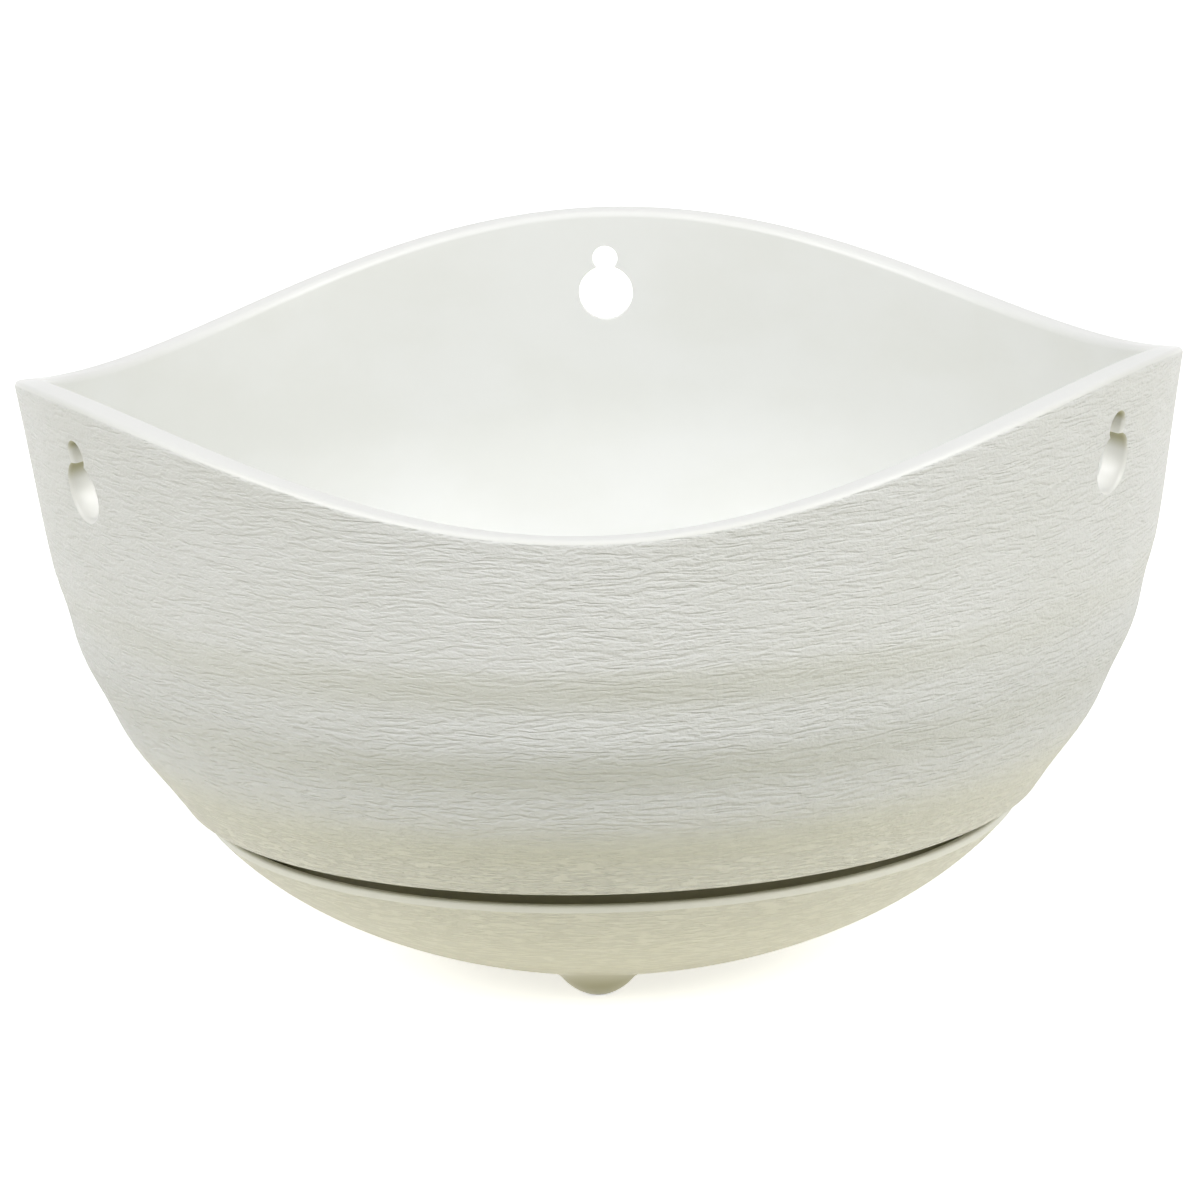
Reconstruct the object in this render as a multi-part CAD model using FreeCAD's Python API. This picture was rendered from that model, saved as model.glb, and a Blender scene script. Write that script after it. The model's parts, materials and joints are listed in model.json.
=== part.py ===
import FreeCAD, Part
import math
import os

# A round hanging planter in moulded plastic: a bowl with a wavy rim, three keyholes for the
# hanging cords and soft ripples, standing in a separate drip tray on three moulded feet.
# Millimetres and degrees. The origin is on the bowl's axis, at the floor. +Z is up and the
# back keyhole is towards +Y. Every profile is a half section: radius first, then height.

# Bowl: rim and wall
RIM_RADIUS = 125.0          # outer edge of the rim at its mean height
RIM_HEIGHT = 130.1          # mean height of the rim above the floor
RIM_LEAN = 9.5              # how far the wall leans outwards at the rim
RIM_PULL = 39.0             # how long the wall keeps the rim's lean, as a curve handle
WAVE_RISE = 8.8             # how far the rim rises and falls about its mean height
WAVE_PEAKS = 3              # peaks round the rim, each with a keyhole below it
BOWL_WALL = 3.0
RIM_WIDTH = 7.0             # the wall grows to this thickness at the rim's peaks
THICKENING_HEIGHT = 90.0    # from here up the wall grows thicker on its inside
RIM_ROUND = 0.9             # rounding of the rim's outer edge
RIM_INNER_ROUND = 1.6       # rounding of the rim's inner edge

# Bowl: lower lip, floor and ripples
LIP_RADIUS = 93.3           # outer edge of the bowl's lower lip
LIP_HEIGHT = 38.6
LIP_LEAN = 39.5
LIP_PULL = 42.0
LIP_ROUND = 0.5
FLOOR_THICKNESS = 2.8
RIPPLE_TOP = 93.3           # height of the first crest, where the ripples start
RIPPLE_PITCH = 19.2
RIPPLE_DEPTH = 0.9
DRAIN_COUNT = 6
DRAIN_DIAMETER = 9.0
DRAIN_CIRCLE_RADIUS = 48.0

# Keyholes
KEY_HEAD_DIAMETER = 12.4    # the wide hole that a knot or a stud passes
KEY_SLOT_DIAMETER = 5.8     # the narrow hole above it that holds the cord
KEY_SPACING = 7.9           # between the two holes' centres, along the wall
KEY_DROP = 19.6             # the wide hole's centre below the rim's peak

# Drip tray
SHADOW_GAP = 3.8            # between the bowl's lip and the tray's rim
TRAY_STEP = 5.1             # the tray's rim stands this far inside the lip
TRAY_WALL = 2.4
TRAY_ROUND = 0.6            # rounding of the rim's outer edge
TRAY_BAND = 1.5             # height of the upright band under the rim
TRAY_FLOOR_RADIUS = 35.6
TRAY_FULLNESS = 0.67        # how full the dish's side is; one half would be a straight cone
SEAT_HEIGHT = 26.6          # the ledge in the tray that the bowl's skirt stands on
LEDGE_THICKNESS = 3.0
LEDGE_WIDTH = 7.0
SKIRT_WALL = 3.0            # the skirt is the bowl's base ring, inside the tray
SKIRT_CLEARANCE = 0.6       # between the skirt's foot and the tray's inner side
SKIRT_DRAFT = 15.0          # how far the skirt leans outwards

# Feet
FOOT_COUNT = 3
FOOT_HEIGHT = 3.4           # the tray's floor stands this far above the floor
FOOT_CIRCLE_RADIUS = 36.0
FOOT_TURN = -5.9            # the front foot's turn from the bowl's front
FOOT_RADIUS = 8.6           # where the foot's domed side meets the tray
FOOT_FLAT_RADIUS = 2.8
FOOT_BULGE = 0.16           # how full the domed side is; nothing would be a straight cone

# Sampling of the formula curves
WAVE_POINTS_PER_PEAK = 16
RIPPLE_POINTS_PER_PITCH = 8
OFFSET_POINTS = 14
OPEN_TOP_POINTS = 2         # points on the wall's straight stretch above the mean rim
HALVINGS = 60               # steps of the search for a height along a curve

FULL_TURN = 360.0
BACK_ANGLE = 90.0           # the back keyhole's place round the axis
ARC_BULGE = math.sqrt(2) - 1  # a quarter round's middle, from its chord towards its corner
UP = FreeCAD.Vector(0, 0, 1)
CENTRE = FreeCAD.Vector(0, 0, 0)

# Places that follow from the driving dimensions
TRAY_RIM_HEIGHT = LIP_HEIGHT - SHADOW_GAP
TRAY_RADIUS = LIP_RADIUS - TRAY_STEP
FLOOR_TOP = LIP_HEIGHT + FLOOR_THICKNESS
PEAK_HEIGHT = RIM_HEIGHT + WAVE_RISE
OPEN_TOP = PEAK_HEIGHT + BOWL_WALL
THICKENING = (RIM_WIDTH - BOWL_WALL) / (PEAK_HEIGHT - THICKENING_HEIGHT)
KEY_HEIGHT = PEAK_HEIGHT - KEY_DROP


def bezier(points, share):
    """Point and direction of a Bezier curve of any degree, as (radius, height) pairs."""
    rows = [points]
    while len(rows[-1]) > 1:
        last = rows[-1]
        rows.append([blend(a, b, share) for a, b in zip(last, last[1:])])
    first, second = rows[-2]
    run = (second[0] - first[0], second[1] - first[1])
    length = math.hypot(*run)
    return rows[-1][0], (run[0] / length, run[1] / length)


def blend(a, b, share):
    """The point that lies a share of the way from a to b."""
    return (a[0] + (b[0] - a[0]) * share, a[1] + (b[1] - a[1]) * share)


def stepped(start, angle, length):
    """A point away from start, along a line that leans outwards from the vertical."""
    lean = math.radians(angle)
    return (start[0] + length * math.sin(lean), start[1] + length * math.cos(lean))


def wall_control():
    """Control points of the bowl's outer wall, from its lip up to the mean rim."""
    lip = (LIP_RADIUS, LIP_HEIGHT)
    rim = (RIM_RADIUS, RIM_HEIGHT)
    return [lip, stepped(lip, LIP_LEAN, LIP_PULL), stepped(rim, RIM_LEAN, -RIM_PULL), rim]


def tray_control():
    """Control points of the tray's outer side, from its floor up to the band under its rim."""
    low = (TRAY_FLOOR_RADIUS, FOOT_HEIGHT)
    high = (TRAY_RADIUS, TRAY_RIM_HEIGHT - TRAY_BAND)
    full = (low[0] + (high[0] - low[0]) * TRAY_FULLNESS, high[1] + (low[1] - high[1]) * TRAY_FULLNESS)
    return [low, full, high]


def inset(control, share, depth):
    """A point of the curve, moved inwards by depth along the wall's normal."""
    (radius, height), (run, rise) = bezier(control, share)
    return (radius - depth * rise, height + depth * run)


def share_at(control, height, depth=0.0):
    """The share along an inset curve at which it reaches a height."""
    low, high = 0.0, 1.0
    for _ in range(HALVINGS):
        middle = (low + high) / 2
        if inset(control, middle, depth)[1] < height:
            low = middle
        else:
            high = middle
    return (low + high) / 2


def inset_curve(control, depth, start_height):
    """Points of an inset curve, from a height up to the curve's own end."""
    first = share_at(control, start_height, depth)
    steps = OFFSET_POINTS - 1
    return [inset(control, first + (1 - first) * i / steps, depth) for i in range(OFFSET_POINTS)]


def ripple(height):
    """How far the ripples draw the wall in at a height: nothing above the first crest."""
    if height >= RIPPLE_TOP:
        return 0.0
    turn = 2 * math.pi * (RIPPLE_TOP - height) / RIPPLE_PITCH
    return RIPPLE_DEPTH * (1 - math.cos(turn)) / 2


def rippled_wall(start_height):
    """Points of the bowl's outer wall with its ripples, from a height near the lip to the rim."""
    control = wall_control()
    first = share_at(control, start_height)
    count = math.ceil((RIM_HEIGHT - LIP_HEIGHT) / RIPPLE_PITCH * RIPPLE_POINTS_PER_PITCH)
    points = []
    for i in range(count + 1):
        share = first + (1 - first) * i / count
        points.append(inset(control, share, ripple(bezier(control, share)[0][1])))
    return points


def inner_wall():
    """Points of the bowl's inner wall from its floor to the mean rim, thicker towards the rim."""
    control = wall_control()
    first = share_at(control, FLOOR_TOP, BOWL_WALL)
    steps = OFFSET_POINTS - 1
    points = []
    for i in range(OFFSET_POINTS):
        share = first + (1 - first) * i / steps
        growth = max(0.0, bezier(control, share)[0][1] - THICKENING_HEIGHT)
        points.append(inset(control, share, BOWL_WALL + growth * THICKENING))
    return points


def to_open_top(points, run):
    """A wall's points, carried on past the rim to the open top, by a run outwards per height."""
    radius, height = points[-1]
    extra = []
    for i in range(OPEN_TOP_POINTS):
        climb = (OPEN_TOP - height) * (i + 1) / OPEN_TOP_POINTS
        extra.append((radius + climb * run, height + climb))
    return points + extra


def at(point):
    """A (radius, height) pair as a point of the half section."""
    return FreeCAD.Vector(point[0], 0, point[1])


def spline(points):
    """One smooth edge through the points."""
    curve = Part.BSplineCurve()
    curve.interpolate([at(p) for p in points])
    return curve.toShape()


def line(a, b):
    return Part.LineSegment(at(a), at(b)).toShape()


def rounded(a, corner, b, bulge=ARC_BULGE):
    """A round edge from a to b that keeps inside the corner."""
    middle = blend(a, b, 0.5)
    return Part.Arc(at(a), at(blend(middle, corner, bulge)), at(b)).toShape()


def turned(edges):
    """The solid that a closed half section makes, turned about the axis."""
    face = Part.Face(Part.Wire(edges))
    return face.revolve(CENTRE, UP, FULL_TURN)


def disc(radius, low, high):
    return Part.makeCylinder(radius, high - low, FreeCAD.Vector(0, 0, low))


def around(shape, count, start):
    """Copies of a shape, evenly spaced about the axis."""
    copies = []
    for i in range(count):
        copy = shape.copy()
        copy.rotate(CENTRE, UP, start + FULL_TURN / count * i)
        copies.append(copy)
    return copies


def above_wave():
    """Everything above the rim's wave: a block that reaches well past the rim."""
    inside = RIM_RADIUS / 2
    outside = RIM_RADIUS * 2
    block_height = 4 * (WAVE_RISE + BOWL_WALL)
    count = WAVE_PEAKS * WAVE_POINTS_PER_PEAK

    def ring(radius):
        points = []
        for i in range(count):
            angle = 2 * math.pi * i / count
            turn = angle - math.radians(BACK_ANGLE)
            height = RIM_HEIGHT + WAVE_RISE * math.cos(WAVE_PEAKS * turn)
            points.append(FreeCAD.Vector(radius * math.cos(angle), radius * math.sin(angle), height))
        curve = Part.BSplineCurve()
        curve.interpolate(points, PeriodicFlag=True)
        return curve.toShape()

    sheet = Part.makeRuledSurface(ring(inside), ring(outside))
    return sheet.extrude(UP * block_height)


def bowl_body():
    """The bowl's wall, floor and skirt, open at the top and not yet cut to the wave."""
    control = tray_control()
    room = TRAY_WALL + SKIRT_CLEARANCE
    skirt = inset(control, share_at(control, SEAT_HEIGHT, room), room)
    neck = (skirt[0] + (LIP_HEIGHT - SEAT_HEIGHT) * math.tan(math.radians(SKIRT_DRAFT)), LIP_HEIGHT)
    skirt_in = (skirt[0] - SKIRT_WALL, SEAT_HEIGHT)
    hollow = (neck[0] - SKIRT_WALL, LIP_HEIGHT)
    lean = math.tan(math.radians(RIM_LEAN))
    outer = to_open_top(rippled_wall(LIP_HEIGHT + LIP_ROUND), lean)
    inner = to_open_top(inner_wall(), lean - THICKENING)
    under = (outer[0][0] - 2 * LIP_ROUND, LIP_HEIGHT)
    corner = (outer[0][0] - LIP_ROUND / 2, LIP_HEIGHT)
    return turned([
        line((0, LIP_HEIGHT), hollow),
        line(hollow, skirt_in),
        line(skirt_in, skirt),
        line(skirt, neck),
        line(neck, under),
        rounded(under, corner, outer[0]),
        spline(outer),
        line(outer[-1], inner[-1]),
        spline(inner),
        line(inner[0], (0, FLOOR_TOP)),
        line((0, FLOOR_TOP), (0, LIP_HEIGHT)),
    ])


def keyhole():
    """One keyhole's cutter at the back: a wide hole and a narrow one above it."""
    share = share_at(wall_control(), KEY_HEIGHT)
    (radius, height), (run, rise) = bezier(wall_control(), share)
    outwards = FreeCAD.Vector(rise, 0, -run)
    upwards = FreeCAD.Vector(run, 0, rise)
    centre = FreeCAD.Vector(radius, 0, height)
    depth = 2 * RIM_WIDTH
    cutters = []
    for diameter, place in ((KEY_HEAD_DIAMETER, 0.0), (KEY_SLOT_DIAMETER, KEY_SPACING)):
        start = centre + upwards * place - outwards * depth
        cutters.append(Part.makeCylinder(diameter / 2, 2 * depth, start, outwards))
    return cutters[0].fuse(cutters[1])


def drain_holes():
    """A drain hole on the axis and a ring of them round it."""
    hole = disc(DRAIN_DIAMETER / 2, LIP_HEIGHT - FLOOR_THICKNESS, FLOOR_TOP + FLOOR_THICKNESS)
    offset = hole.copy()
    offset.translate(FreeCAD.Vector(DRAIN_CIRCLE_RADIUS, 0, 0))
    return [hole] + around(offset, DRAIN_COUNT, BACK_ANGLE)


def rim_edges(shape, inner):
    """The inner or the outer edges of the rim's top face, which follow the wave."""
    found = []
    for edge in shape.Edges:
        box = edge.BoundBox
        waves_round = box.ZLength > WAVE_RISE and box.XLength > RIM_RADIUS
        if waves_round and (box.XLength < 2 * RIM_RADIUS - RIM_WIDTH) == inner:
            found.append(edge)
    return found


def planter_bowl():
    body = bowl_body().cut(above_wave())
    body = body.makeFillet(RIM_ROUND, rim_edges(body, inner=False))
    body = body.makeFillet(RIM_INNER_ROUND, rim_edges(body, inner=True))
    return body.cut(around(keyhole(), WAVE_PEAKS, BACK_ANGLE)).cut(drain_holes())


def tray_outside():
    """The tray's outer form as if it were solid, up to its rim."""
    side = inset_curve(tray_control(), 0.0, FOOT_HEIGHT)
    band_top = (TRAY_RADIUS, TRAY_RIM_HEIGHT - TRAY_ROUND)
    corner = (TRAY_RADIUS, TRAY_RIM_HEIGHT)
    edge = (TRAY_RADIUS - TRAY_ROUND, TRAY_RIM_HEIGHT)
    return turned([
        line((0, FOOT_HEIGHT), side[0]),
        spline(side),
        line(side[-1], band_top),
        rounded(band_top, corner, edge),
        line(edge, (0, TRAY_RIM_HEIGHT)),
        line((0, TRAY_RIM_HEIGHT), (0, FOOT_HEIGHT)),
    ])


def tray_hollow():
    """The space inside the tray, open at the rim."""
    floor = FOOT_HEIGHT + TRAY_WALL
    side = inset_curve(tray_control(), TRAY_WALL, floor)
    mouth = (side[-1][0], TRAY_RIM_HEIGHT + TRAY_WALL)
    return turned([
        line((0, floor), side[0]),
        spline(side),
        line(side[-1], mouth),
        line(mouth, (0, mouth[1])),
        line((0, mouth[1]), (0, floor)),
    ])


def seat_ledge(outside):
    """The ring inside the tray that carries the bowl's skirt."""
    skirt = inset(tray_control(), share_at(tray_control(), SEAT_HEIGHT, TRAY_WALL), TRAY_WALL)
    low = SEAT_HEIGHT - LEDGE_THICKNESS
    band = disc(TRAY_RADIUS, low, SEAT_HEIGHT).cut(disc(skirt[0] - LEDGE_WIDTH, low, SEAT_HEIGHT))
    return outside.common(band)


def foot():
    """One domed foot, standing on the floor and reaching up into the tray's wall."""
    top = FOOT_HEIGHT + 2 * TRAY_WALL
    flat = (FOOT_FLAT_RADIUS, 0)
    shoulder = (FOOT_RADIUS, FOOT_HEIGHT + TRAY_WALL / 2)
    shape = turned([
        line((0, 0), flat),
        rounded(flat, (FOOT_RADIUS, 0), shoulder, FOOT_BULGE),
        line(shoulder, (FOOT_RADIUS, top)),
        line((FOOT_RADIUS, top), (0, top)),
        line((0, top), (0, 0)),
    ])
    shape.translate(FreeCAD.Vector(FOOT_CIRCLE_RADIUS, 0, 0))
    return shape


def drip_tray():
    outside = tray_outside()
    feet = around(foot(), FOOT_COUNT, FOOT_TURN - BACK_ANGLE)
    shell = outside.fuse(feet).cut(tray_hollow())
    return shell.fuse(seat_ledge(outside)).removeSplitter()


def main():
    os.makedirs("parts", exist_ok=True)
    for name, make in (("planter_bowl", planter_bowl), ("drip_tray", drip_tray)):
        shape = make()
        solid = shape.Solids[0]
        if len(shape.Solids) != 1 or not solid.isValid():
            raise ValueError(name + " is not one valid solid")
        solid.exportStep("parts/" + name + ".step")
        print(name, "volume", round(solid.Volume), "mm3")


main()
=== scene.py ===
import json
import math

import bmesh
import bpy
import numpy as np
from mathutils import Matrix, Vector


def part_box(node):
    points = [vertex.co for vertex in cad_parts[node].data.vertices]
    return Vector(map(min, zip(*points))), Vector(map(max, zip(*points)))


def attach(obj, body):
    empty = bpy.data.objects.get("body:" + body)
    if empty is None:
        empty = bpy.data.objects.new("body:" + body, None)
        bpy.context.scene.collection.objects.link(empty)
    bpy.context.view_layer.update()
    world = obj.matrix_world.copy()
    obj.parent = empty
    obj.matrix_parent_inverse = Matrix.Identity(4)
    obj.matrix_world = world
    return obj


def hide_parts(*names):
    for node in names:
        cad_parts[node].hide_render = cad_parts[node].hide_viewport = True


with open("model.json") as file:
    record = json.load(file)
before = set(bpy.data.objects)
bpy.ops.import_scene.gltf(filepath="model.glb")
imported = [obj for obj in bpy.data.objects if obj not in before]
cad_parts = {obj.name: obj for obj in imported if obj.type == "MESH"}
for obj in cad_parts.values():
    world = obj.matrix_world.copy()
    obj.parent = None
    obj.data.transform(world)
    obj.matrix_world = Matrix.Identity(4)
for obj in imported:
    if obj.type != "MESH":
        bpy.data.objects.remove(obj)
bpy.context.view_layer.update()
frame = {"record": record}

bl_info = {
    "name": "Hanging planter",
    "version": (1, 0, 0),
    "blender": (4, 5, 0),
    "location": "3D View > Sidebar > Planter",
    "description": "Builds a moulded planter bowl, its drip tray and a plain studio",
    "category": "Object",
}

# From the frame: the boxes of the two pieces, and the mounts of the back keyhole and the front foot
BOWL_LOW, BOWL_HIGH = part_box("planter_bowl")
TRAY_LOW, TRAY_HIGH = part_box("drip_tray")
MOUNTS = {mount["name"]: mount for mount in frame["record"]["mounts"]}
KEY_MOUNT = MOUNTS["key_back"]
KEY_PLACE = Vector(KEY_MOUNT["pos_m"])
KEY_AXIS = Vector(KEY_MOUNT["axis"])
KEY_RADIUS = KEY_MOUNT["dims"]["r_mm"] / 1000
KEY_WALL = KEY_MOUNT["dims"]["length_mm"] / 1000
FOOT_PLACE = Vector(MOUNTS["feet"]["pos_m"])
FOOT_CIRCLE = math.hypot(FOOT_PLACE.x, FOOT_PLACE.y)
FOOT_ANGLE = math.atan2(FOOT_PLACE.y, FOOT_PLACE.x)

FULL_TURN = 2 * math.pi
BACK = math.pi / 2          # the back keyhole's place round the axis
MM = 0.001

# Material slots of the bowl and the tray; the third is painted shade on the faces in the gap between them
GRAINED, SMOOTH, SHADED_GAP, KEYHOLE = 0, 1, 2, 3

# Steps across the rounded edge of a keyhole, 1 at the wall's face, and how far the edge opens there
KEY_ROUNDING = (0.0, 0.35, 0.7, 1.0, 1.3)
KEY_FLARE = 0.6

# Points round the holes
NARROW_SIDES = 28
WIDE_SIDES = 56
DRAIN_SIDES = 40

# The curve from the bowl's inner wall to its floor, in shares of its size: inwards and up, and its end
COVE = ((0.5, 0.4), (1.1, 0.1))
COVE_END = 1.8

# Rings up the outer wall: few on its plain lowest share, many on the creased rest
PLAIN_SHARE = 0.16
PLAIN_RINGS = 16
CREASED_RINGS = 182

# Rings on the other stretches of the half sections
EDGE_RINGS = 6
INNER_EDGE_RINGS = 8
INSIDE_RINGS = 22
FOOT_RINGS = 48
SIDE_RINGS = 30
DISH_RINGS = 14

# Turns sharper than these stay sharp in the shading
BOWL_SHARP = math.radians(50)
TRAY_SHARP = math.radians(40)

# Heights between which one finish eases into the next; the first three ease the painted shade and light of
# the feet, the lip and the lower wall
FOOT_TO_TRAY = (3 * MM, 6.5 * MM)
LIP_TO_MIDDLE = (44 * MM, 62 * MM)
MIDDLE_TO_TOP = (70 * MM, 96 * MM)
STREAKS_TO_GROOVES = (44 * MM, 56 * MM)
DEEP_TO_SHALLOW = (64 * MM, 90 * MM)

# Noises of each texture: size of the grain across and upright, and detail
CLOUDS = (35 * MM, 20 * MM, 3.0)
STREAKS = (4 * MM, 0.5 * MM, 1.0)
SPECKS = (0.9 * MM, 0.5 * MM, 2.5)
GROOVE_GAPS = (6 * MM, 1.3 * MM, 1.0)
DRIFT = (22 * MM, 16 * MM, 1.0)
WAVER = (3 * MM, 2 * MM, 1.0)
SATIN = (6 * MM, 6 * MM, 2.0)
BOWL_GRAIN = (4 * MM, 1.2 * MM, 2.0)
TRAY_GRAIN = (4 * MM, 0.8 * MM, 2.0)
POLISH = (20 * MM, 20 * MM, 2.0)

# The two nets of grooves: size of a cell across and upright, and where the first cell starts
LONG_GROOVES = (17 * MM, 1.8 * MM, 0.0)
SHORT_GROOVES = (9 * MM, 1.3 * MM, 5.3)

# Values of a noise between which its texture comes in
CLOUD_EDGES = (0.35, 0.65)
STREAK_EDGES = (0.42, 0.58)
GAP_EDGES = (0.40, 0.56)
ROUGH_EDGES = (0.3, 0.7)

# How far the grooves stray from level, and the depth of the satin
DRIFT_RISE = 5 * MM
WAVER_RISE = 0.4 * MM
SATIN_DEPTH = 0.02 * MM

# Relief of the specks and streaks, in depths of the fine grain
BOWL_RELIEF = 1.8
TRAY_RELIEF = 1.5

# Depth of the short grooves next to the long ones, and of the low grooves next to the high ones
SHORT_SHARE = 0.8
LOW_SHARE = 1.6

# The moulding's faint cloudiness, as tints of its colour
CLOUD_DARK = (0.985, 0.985, 0.975)
CLOUD_LIGHT = (1.01, 1.01, 1.012)

MATTE_SPREAD = 0.05         # how far the roughness of a matte face varies
POLISH_SPREAD = 0.03        # and that of a polished one
PLASTIC_IOR = 1.49
TROUGH_SPREAD = 0.5         # how far past level the shade under a crest reaches
# The rim's painted highlight fades by this share over its inner rounding
RIM_FADE = 0.8              # how much of the rim's white is lost over its inner rounding
FOOT_RUN_ON = 1.6           # slope of a foot's side past its dome, inside the tray's wall
SENSOR = 36.0               # the camera's sensor, in millimetres
FLOOR_REACH = 4.0           # how far the floor goes each way, in metres
TABLE_LIFT = 0.5 * MM       # height of the light table above the floor
GROOVE_HALF = 0.28          # half the width of a groove, in cells
# A keyhole's warm painted shade starts at the first slant and is full at the second
FACING_DOWN = (-0.15, -0.85)    # the slant of a keyhole's face at which its warm tint starts, and is full
SETTLING = 4                # steps in which a point opposite another is found
WHITE = (1.0, 1.0, 1.0)


def length(name, description, default):
    return bpy.props.FloatProperty(
        name=name, description=description, default=default, unit="LENGTH", precision=5)


def turn(name, description, degrees):
    return bpy.props.FloatProperty(
        name=name, description=description, default=math.radians(degrees), subtype="ANGLE")


def share(name, description, default):
    return bpy.props.FloatProperty(
        name=name, description=description, default=default, subtype="FACTOR", min=0, max=1)


def number(name, description, default):
    return bpy.props.FloatProperty(name=name, description=description, default=default)


def count(name, description, default):
    return bpy.props.IntProperty(name=name, description=description, default=default, min=1)


def colour(name, description, default):
    return bpy.props.FloatVectorProperty(
        name=name, description=description, default=default, subtype="COLOR", size=3, min=0, max=1)


class BowlSizes(bpy.types.PropertyGroup):
    """Sizes of the bowl, from its wavy rim down to its skirt"""
    rim_radius: length("Rim radius", "Outer edge of the rim at its mean height", 0.125)
    rim_peak: length("Rim peak", "Height of the rim's three peaks", BOWL_HIGH.z)
    rim_lean: turn("Rim lean", "How far the wall leans outwards at the rim", 9.5)
    rim_pull: length("Rim pull", "How long the wall keeps the rim's lean", 0.039)
    wave_rise: length("Wave rise", "How far the rim rises and falls about its mean", 0.0088)
    wave_peaks: count("Wave peaks", "Peaks round the rim, each with a keyhole below it", 3)
    wall: length("Wall", "Thickness of the bowl's wall", 0.003)
    rim_width: length("Rim width", "Thickness that the wall grows to at the peaks", 0.007)
    thickening_height: length("Thickening height", "Where the wall starts to grow thicker", 0.090)
    rim_round: length("Rim rounding", "Rounding of the rim's outer edge", 0.0013)
    rim_inner_round: length("Inner rim rounding", "Rounding of the rim's inner edge", 0.0016)
    lip_radius: length("Lip radius", "Outer edge of the bowl's lower lip", 0.0933)
    lip_height: length("Lip height", "Height of the lower lip", 0.0386)
    lip_lean: turn("Lip lean", "How far the wall leans outwards at the lip", 39.5)
    lip_pull: length("Lip pull", "How long the wall keeps the lip's lean", 0.042)
    lip_round: length("Lip rounding", "Rounding of the lower lip", 0.0005)
    floor_thickness: length("Floor", "Thickness of the bowl's floor", 0.0028)
    ripple_top: length("Ripple top", "Height of the first crest", 0.0933)
    ripple_pitch: length("Ripple pitch", "Height from crest to crest", 0.0192)
    ripple_depth: length("Ripple depth", "How deep the ripples are", 0.0009)
    ripple_fade: share("Ripple fade", "How much of that depth is lost under the rim's peaks", 0.6)
    skirt_wall: length("Skirt wall", "Thickness of the base ring in the tray", 0.003)
    skirt_clearance: length("Skirt clearance", "Room between the skirt's foot and the tray", 0.0006)
    skirt_draft: turn("Skirt draft", "How far the skirt leans outwards", 15.0)
    key_slot_radius: length("Cord hole radius", "Narrow hole of a keyhole", 0.0029)
    key_spacing: length("Keyhole spacing", "Between a keyhole's two centres", 0.0079)
    key_round: length("Keyhole rounding", "Softened outer edge of the keyholes", 0.0009)
    key_edge: length("Keyhole edge", "Softened inner edge of the keyholes", 0.0002)
    drain_bevel: length("Drain bevel", "Softened edge of the drains", 0.0004)
    drain_count: count("Drains", "Drain holes round the middle one", 6)
    drain_radius: length("Drain radius", "Radius of a drain hole", 0.0045)
    drain_circle: length("Drain circle", "Radius of the ring of drains", 0.048)


class TraySizes(bpy.types.PropertyGroup):
    """Sizes of the drip tray and its feet"""
    rim_height: length("Rim height", "Height of the tray's rim", TRAY_HIGH.z)
    rim_radius: length("Rim radius", "Outer edge of the tray's rim", 0.0882)
    wall: length("Wall", "Thickness of the tray's wall", 0.0024)
    rim_round: length("Rim rounding", "Rounding of the rim's outer edge", 0.0006)
    band: length("Band", "Height of the upright band under the rim", 0.0015)
    floor_radius: length("Floor radius", "Radius of the flat underside", 0.0356)
    fullness: share("Fullness", "How full the side is; one half is a straight cone", 0.67)
    seat_height: length("Seat height", "Height of the ledge for the bowl's skirt", BOWL_LOW.z)
    ledge_thickness: length("Ledge thickness", "Thickness of that ledge", 0.003)
    ledge_width: length("Ledge width", "Width of that ledge", 0.007)
    foot_count: count("Feet", "Feet round the underside", 3)
    foot_height: length("Foot height", "The underside's height above the floor", 0.0034)
    foot_radius: length("Foot radius", "Where a foot's dome meets the tray", 0.0086)
    foot_flat: length("Foot flat", "Radius of a foot's flat bottom", 0.0028)
    foot_bulge: share("Foot bulge", "How full a foot's dome is; nothing is a cone", 0.16)
    foot_blend: length("Foot blend", "How softly a foot runs into the tray", 0.0006)


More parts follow.
